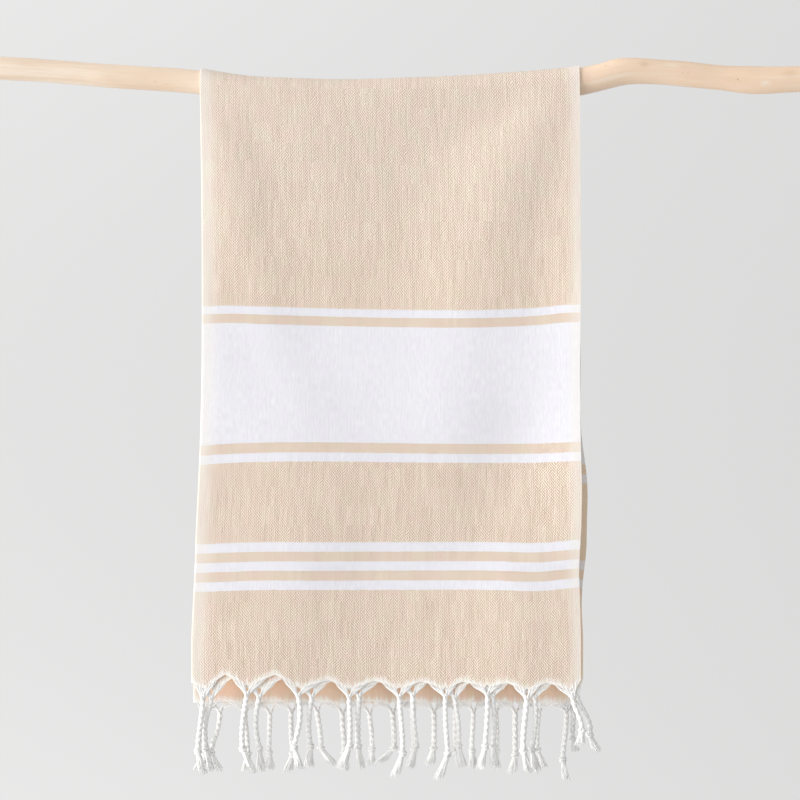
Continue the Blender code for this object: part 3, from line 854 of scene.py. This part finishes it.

# Painted light: the sheets behind the front one are painted warmer above the hem and along the
# selvedge, and paler in their white bands there, for the light that bounces between the layers.
INNER_MARGIN = 40 * MM
edge_place = cotton.node("ShaderNodeUVMap", uv_map="edge").outputs[0]
from_cut, inside, _ = cotton.split(edge_place)
INNER_LIGHT = [(4 * MM, 0.0), (45 * MM, 0.85), (65 * MM, 0.85), (85 * MM, 0.0)]
inner_light = cotton.ramp(from_hem, INNER_LIGHT)
inner_light = cotton.times(inner_light, inside)
off_fold = cotton.ramp(cotton.math("DIVIDE", near_fold, INNER_MARGIN), [(0.2, 0.0), (0.7, 1.0)])
inner_light = cotton.times(inner_light, off_fold)
tone = cotton.mix(inner_light, tone, (0.93, 0.65, 0.47, 1))
side_light = cotton.math("DIVIDE", near_selvedge, INNER_MARGIN)
side_light = cotton.ramp(side_light, [(0.3, 0.95), (1.0, 0.0)])
side_light = cotton.times(side_light, inside)
# Painted light on the white bands of those sheets along the selvedge.
side_light_on_white = cotton.times(side_light, white_band)
on_beige = cotton.math("MULTIPLY_ADD", white_band, -0.7, 1.0)
side_light = cotton.times(side_light, on_beige)
tone = cotton.mix(side_light, tone, (1.0, 0.81, 0.62, 1))
tone = cotton.mix(side_light_on_white, tone, (1.0, 0.97, 0.97, 1))

# Along the cut edge the weft has slipped off, and the white warp ends are bare.
BARE_WARP = 11 * MM
WARP_RAGGED = 6 * MM  # how unevenly the weft ends from rib to rib
THREAD_RAGGED = 3 * MM  # and from thread to thread
ragged = cotton.vary(from_cut, cotton.chance(rib_number, 0.5), WARP_RAGGED)
ragged = cotton.vary(ragged, thread_chance, THREAD_RAGGED)
bare_warp = cotton.ramp(cotton.math("DIVIDE", ragged, BARE_WARP), [(0.0, 0.95), (0.9, 0.0)])
tone = cotton.mix(bare_warp, tone, (0.95, 0.93, 0.90, 1))
clouds = cotton.ramp(clouds, [(0.35, 0.0), (0.65, 1.0)])
tint = cotton.mix(clouds, (1.0, 0.965, 0.965, 1), (0.985, 1.0, 0.965, 1))
cotton.colour(cotton.mix(on_beige, tone, tint, blend="MULTIPLY"))
cotton.raise_by(show, 0.25, 0.25 * MM)
cloth.data.materials.append(cotton.material)
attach(cloth, "root")
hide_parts("towel")

# ---- The warp fringe ----------------------------------------------------------------------------
# The warp's loose ends are gathered into two legs for each tassel, each leg is rolled into a ply,
# the two plies twist round each other to a cord, and a knot holds them above a short brush. Each
# cord and each lock of a brush has a soft core of the same yarn.

KNOT_DROP = 70 * MM  # from the root to the knot of a full tassel
OUTER_LEAN = 6 * MM  # how far a tassel leans out, away from the space between the drops
INNER_LEAN = -2.5 * MM
BRUSH_LENGTH = 29 * MM
YARN = 0.95 * MM  # radius of one yarn in a cord
YARN_SIDES = 5
PLY_YARNS = 7
PLY_REACH = 1.55 * MM  # distance of a ply's centre from the cord's axis
YARN_REACH = 1.65 * MM  # distance of a yarn's centre from its ply's
CORD_LAYS = (14.5 * MM, 18 * MM)  # length of one turn of the two plies, least and most
PLY_LAY = 11 * MM  # length of one turn of a ply's yarns
LEG_STEPS = 11
LEG_GATHER = 0.72  # where along a leg its yarns begin to gather into a ply
LEG_START = 1.25  # lane in which they leave the cloth, behind its edge
CORD_STEPS = 34
CORD_CORE = 3.1 * MM
LOCK_CORE = 3.2 * MM
CORE_STEPS = 14
CORE_SIDES = 8
KNOT_REACH = 3.9 * MM
KNOT_HALF_HEIGHT = 3.0 * MM
KNOT_TURNS = 1.6
KNOT_STEPS = 26
KNOT_YARNS = 5
KNOT_YARN_REACH = 1.1 * MM
BRUSH_YARNS = 44
BRUSH_STEPS = 6
BRUSH_CURL = 1.3 * MM
BRUSH_TOP = 2.3 * MM  # a lock's radius below the knot
BRUSH_FLARE = 2.6 * MM  # and what it gains down to its end
EVEN_TURN = 0.381966  # share of a turn that spreads yarns evenly over a round


class Yarns:
    """Collects the tubes of one fringe."""

    def __init__(self):
        self.points = []
        self.faces = []

    def tube(self, path, radii, sides):
        """One yarn along a path, closed at both ends."""
        base = len(self.points)
        side = None
        for i, point in enumerate(path):
            ahead = (path[min(i + 1, len(path) - 1)] - path[max(i - 1, 0)]).normalized()
            if side is None:
                side = ahead.orthogonal().normalized()
            side = (side - ahead * side.dot(ahead)).normalized()
            other = ahead.cross(side)
            for k in range(sides):
                angle = math.tau * k / sides
                self.points.append(point + (side * math.cos(angle) + other * math.sin(angle))
                                   * radii[i])
        for i in range(len(path) - 1):
            for k in range(sides):
                a, b = base + i * sides + k, base + i * sides + (k + 1) % sides
                self.faces.append((a, b, b + sides, a + sides))
        self.faces.append(tuple(base + k for k in reversed(range(sides))))
        top = base + (len(path) - 1) * sides
        self.faces.append(tuple(top + k for k in range(sides)))

    def make(self, name):
        mesh = bpy.data.meshes.new(name)
        mesh.from_pydata(self.points, [], self.faces)
        mesh.shade_smooth()
        made = bpy.data.objects.new(name, mesh)
        bpy.context.scene.collection.objects.link(made)
        return made


def leg_point(side, outer, hand, peak, tassel, along, lane):
    """Point in a leg's flat bundle: along from the peak to the root, lane from its lower edge."""
    x, root = tassel[0] * MM, tassel[1] * MM
    start = Vector(peak)
    end = Vector((x + hand * ROOT_HALF_WIDTH, root))
    middle = Vector(leg_middle(peak, x, root))
    bend = middle * 2 - (start + end) / 2
    lower = start * (1 - along)**2 + bend * 2 * along * (1 - along) + end * along**2
    course = ((bend - start) * (1 - along) + (end - bend) * along).normalized()
    inward = Vector((-hand * abs(course.y), -abs(course.x)))
    width = LEG_WIDTH * (0.3 + 0.7 * ease(along * 1.8))
    spot = lower + inward * width * lane
    return drop_point(side, outer, spot.x, PARTING[side] - spot.y)


def add_tassel(yarns, side, outer, tassel, peaks, lean, chance):
    """Two legs along the scallop's edge, which go on as the two plies of a cord down to its knot."""
    x, root, share, bow, knot_sway, _ = tassel
    start = drop_point(side, outer, x * MM, PARTING[side] - root * MM)
    knot_length = KNOT_DROP * share
    lay = chance.uniform(*CORD_LAYS)
    thickness = chance.uniform(0.88, 1.04)

    def axis(t):
        sway = knot_sway * ease(t) + bow * math.sin(math.pi * t)
        return start + Vector((sway * MM, lean * t, -knot_length * t))

    for hand, peak in zip((-1, 1), peaks):
        for k in range(PLY_YARNS):
            lane = (k + 0.5) / PLY_YARNS

            def in_cord(t):
                down = knot_length * t
                turn = (math.pi if hand < 0 else 0.0) + math.tau * down / lay
                twist = math.tau * k / PLY_YARNS + turn - math.tau * down / PLY_LAY
                reach = PLY_REACH * thickness
                centre = axis(t) + Vector((math.cos(turn), math.sin(turn), 0)) * reach
                spread = YARN_REACH * thickness
                return centre + Vector((math.cos(twist), math.sin(twist), 0)) * spread

            path, radii = [], []
            first = lane * LEG_GATHER
            for i in range(LEG_STEPS):
                t = i / LEG_STEPS
                along = first + (1 - first) * t
                lift = LEG_START + (lane - LEG_START) * ease(t * 2.2)
                point = leg_point(side, outer, hand, peak, tassel, along, lift)
                point.y += SIGN[side] * (k % 2 - 0.3) * 0.6 * MM * math.sin(math.pi * t)
                gather = ease((along - LEG_GATHER) / (1 - LEG_GATHER))
                path.append(point.lerp(in_cord(0.0), gather))
                radii.append(YARN * thickness * (0.72 + 0.28 * t))
            for i in range(CORD_STEPS + 1):
                path.append(in_cord(i / CORD_STEPS))
                radii.append(YARN * thickness)
            yarns.tube(path, radii, YARN_SIDES)
    path = [axis(i / CORE_STEPS) for i in range(CORE_STEPS + 1)]
    radii = [CORD_CORE * thickness * ease(0.4 + i) for i in range(CORE_STEPS + 1)]
    yarns.tube(path, radii, CORE_SIDES)
    return axis(1.0), (axis(1.0) - axis(0.93)).normalized()


def add_knot(yarns, knot, course, chance):
    """A turn and a half of the cord's own end round it, drawn tight."""
    tilt = Matrix.Rotation(chance.uniform(0, math.tau), 3, "Z")
    tilt = tilt @ Matrix.Rotation(math.radians(chance.uniform(14, 30)), 3, "X")
    tilt = course.to_track_quat("Z", "Y").to_matrix() @ tilt
    for k in range(KNOT_YARNS):
        path = []
        for i in range(KNOT_STEPS + 1):
            t = i / KNOT_STEPS
            turn = math.tau * KNOT_TURNS * t
            tuck = math.sin(math.pi * t) ** 0.35
            out = Vector((math.cos(turn), math.sin(turn), 0))
            height = KNOT_HALF_HEIGHT * (2 * t - 1)
            twist = math.tau * (k / KNOT_YARNS + 1.3 * t)
            spread = out * math.cos(twist) + Vector((0, 0, 1)) * math.sin(twist)
            centre = out * KNOT_REACH * (0.35 + 0.65 * tuck) + Vector((0, 0, height))
            path.append(knot + tilt @ (centre + spread * KNOT_YARN_REACH))
        yarns.tube(path, [YARN] * len(path), YARN_SIDES)


def add_brush(yarns, side, tassel, knot, lean, chance):
    """The yarns' cut ends below the knot, which fall into two or three locks."""
    _, _, share, _, knot_sway, end_sway = tassel
    aim = Vector(((end_sway - knot_sway) * MM, lean * 0.4, -BRUSH_LENGTH * share))
    flare = chance.uniform(1.5, 3.2) if side == "front" else chance.uniform(2.4, 4.2)
    locks = chance.choice((2, 2, 3))
    first = chance.uniform(0, math.tau)
    parts = []
    for k in range(locks):
        turn = first + math.tau * k / locks
        parts.append(Vector((math.cos(turn), math.sin(turn) * 0.6, 0)) * flare * MM)
        path = [knot + aim * t + parts[-1] * t for t in (0.0, 0.2, 0.4, 0.6, 0.8, 0.9)]
        radii = [LOCK_CORE * size for size in (0.9, 1.0, 1.0, 0.95, 0.7, 0.3)]
        yarns.tube(path, radii, CORE_SIDES)
    for k in range(BRUSH_YARNS):
        part = parts[k % locks]
        around = math.tau * k * EVEN_TURN
        out = Vector((math.cos(around), math.sin(around), 0)) * math.sqrt((k + 0.5) / BRUSH_YARNS)
        reach = chance.uniform(0.8, 1.08)
        curl = Vector((chance.uniform(-1, 1), chance.uniform(-1, 1), 0)) * BRUSH_CURL
        path, radii = [], []
        for i in range(BRUSH_STEPS + 1):
            t = i / BRUSH_STEPS
            spread = out * (BRUSH_TOP + BRUSH_FLARE * t)
            point = knot + aim * reach * t + part * t**1.1 + spread
            path.append(point + curl * math.sin(2.8 * t) * t)
            radii.append(YARN * (0.72 - 0.25 * t))
        yarns.tube(path, radii, 4)


yarn = Paint("white warp yarn", 0.95)
yarn_place = yarn.node("ShaderNodeTexCoord").outputs["Object"]
fuzz = yarn.noise(yarn_place, 900, detail=3)
stain = yarn.noise(yarn_place, 60, detail=2)
yarn_tone = yarn.mix(yarn.ramp(fuzz, [(0.35, 0.0), (0.65, 1.0)]), (0.95, 0.95, 0.94, 1),
                     (0.975, 0.975, 0.97, 1))
yarn.colour(yarn.mix(yarn.ramp(stain, [(0.4, 0.0), (0.7, 0.25)]), yarn_tone, (0.95, 0.94, 0.91, 1)))
yarn.raise_by(fuzz, 0.25, 0.12 * MM)

for side in ("front", "back"):
    chance = random.Random(11 if side == "front" else 29)
    yarns = Yarns()
    for outer in (True, False):
        peaks = hem_peaks(side, outer)
        lean = SIGN[side] * (OUTER_LEAN if outer else INNER_LEAN)
        for tassel, start, end in zip(TASSELS[side, outer], peaks, peaks[1:]):
            knot, course = add_tassel(yarns, side, outer, tassel, (start, end), lean, chance)
            add_knot(yarns, knot, course, chance)
            add_brush(yarns, side, tassel, knot, lean, chance)
    fringe = yarns.make("knotted_fringe_" + side)
    fringe.data.materials.append(yarn.material)
    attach(fringe, "root")
    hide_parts("fringe_" + side)

# ---- Floor --------------------------------------------------------------------------------------
# A round of pale studio floor under the towel, out of the picture, that fades out at its rim. The
# room's light already holds what it throws back, so it neither lights nor shades the towel.

FLOOR_MIDDLE = 625 * MM
FLOOR_HEIGHT = -1.5
FLOOR_RADIUS = 2.4
bpy.ops.object.select_all(action="DESELECT")
bpy.ops.mesh.primitive_circle_add(vertices=96, radius=FLOOR_RADIUS, fill_type="NGON",
                                  location=(FLOOR_MIDDLE, 0, FLOOR_HEIGHT))
floor = bpy.context.active_object
floor.name = "studio_floor"
bpy.ops.object.transform_apply(location=True, rotation=True, scale=True)
pale_floor = Paint("pale floor", 0.8)
floor_place = pale_floor.node("ShaderNodeTexCoord").outputs["Object"]
centred = pale_floor.stretch(floor_place, (1, 1, 0), place=(-FLOOR_MIDDLE, 0, 0))
from_middle = pale_floor.math("DIVIDE", pale_floor.length(centred), FLOOR_RADIUS)
speckle = pale_floor.noise(floor_place, 40, detail=3)
pale_floor.colour(pale_floor.mix(speckle, (0.74, 0.74, 0.735, 1), (0.78, 0.78, 0.775, 1)))
rim = pale_floor.ramp(from_middle, [(0.45, 1.0), (0.98, 0.0)])
pale_floor.put(rim, pale_floor.shader.inputs["Alpha"])
floor.data.materials.append(pale_floor.material)
floor.visible_diffuse = False
floor.visible_glossy = False
floor.visible_shadow = False

# ---- Light --------------------------------------------------------------------------------------
# A pale grey studio, bright all round and brightest overhead and underfoot, a broad soft light that
# grazes the towel from the left to show its folds, and a weak one from the front. The wall behind
# the towel has a tone of its own, apart from the light that the room gives.

scene = bpy.context.scene
scene.view_settings.view_transform = "Standard"
world = bpy.data.worlds.new("pale studio")
scene.world = world
world.use_nodes = True
room_light = Nodes(world.node_tree)
background = world.node_tree.nodes["Background"]
background.inputs["Color"].default_value = (1.0, 1.0, 0.996, 1)
WALL_TONE = 0.742
WALL_SLANT = -0.156  # how much brighter the wall is on the left
WALL_BOW = 0.78  # how much brighter it is above and below the middle
WALL_BOW_SLANT = -2.5  # how much more so on the left
ROOM_TONE = 0.46
ROOM_SLANT = -0.30  # how much brighter the room is on the left
ROOM_BOW = 0.60  # how much brighter the room is overhead and underfoot
right, _, up = room_light.split(room_light.node("ShaderNodeTexCoord").outputs["Generated"])
up_squared = room_light.times(up, up)
wall = room_light.math("MULTIPLY_ADD", right, WALL_SLANT, WALL_TONE)
bow = room_light.times(up_squared, WALL_BOW)
leftward = room_light.math("MULTIPLY_ADD", right, WALL_BOW_SLANT, 1.0)
wall = room_light.math("MULTIPLY_ADD", bow, leftward, wall)
room = room_light.math("MULTIPLY_ADD", right, ROOM_SLANT, ROOM_TONE)
room = room_light.math("MULTIPLY_ADD", up_squared, ROOM_BOW, room)
seen = room_light.node("ShaderNodeLightPath").outputs["Is Camera Ray"]
choose = room_light.node("ShaderNodeMix", data_type="FLOAT")
for value, socket in ((seen, "Factor"), (room, "A"), (wall, "B")):
    room_light.put(value, choose.inputs[socket])
room_light.put(choose.outputs["Result"], background.inputs["Strength"])

LAMPS = [
    # name, strength, width in degrees, colour, direction in which it shines
    ("soft light from the left", 2.3, 42, (1.0, 0.985, 0.96), (0.90, 0.42, -0.06)),
    ("soft light from the front", 0.25, 30, (1.0, 0.99, 0.98), (-0.15, 0.98, -0.05)),
]
for name, strength, width, colour, direction in LAMPS:
    light = bpy.data.lights.new(name, "SUN")
    light.energy = strength
    light.angle = math.radians(width)
    light.color = colour
    lamp = bpy.data.objects.new(name, light)
    lamp.rotation_euler = Vector(direction).to_track_quat("-Z", "Y").to_euler()
    scene.collection.objects.link(lamp)

# ---- Camera -------------------------------------------------------------------------------------
# Level and square on to the towel, as in the photo, and far enough away to keep the two drops
# nearly in line. The lens takes in the width of the photo.

PIXEL = 1.316 * MM  # size of one pixel of the photo at the front drop
PHOTO_WIDTH = 800  # pixels
PHOTO_MIDDLE = (625.1 * MM, -442.2 * MM)
CAMERA_DISTANCE = 2.6
SENSOR = 36.0
view_width = PHOTO_WIDTH * PIXEL
front_plane = -HANG_DEPTH - layer_rise(True, 1, 1)
lens = bpy.data.cameras.new("camera")
lens.sensor_width = SENSOR
lens.lens = SENSOR * CAMERA_DISTANCE / view_width
camera = bpy.data.objects.new("camera", lens)
camera.location = (PHOTO_MIDDLE[0], front_plane - CAMERA_DISTANCE, PHOTO_MIDDLE[1])
camera.rotation_euler = (math.pi / 2, 0, 0)
scene.collection.objects.link(camera)
scene.camera = camera
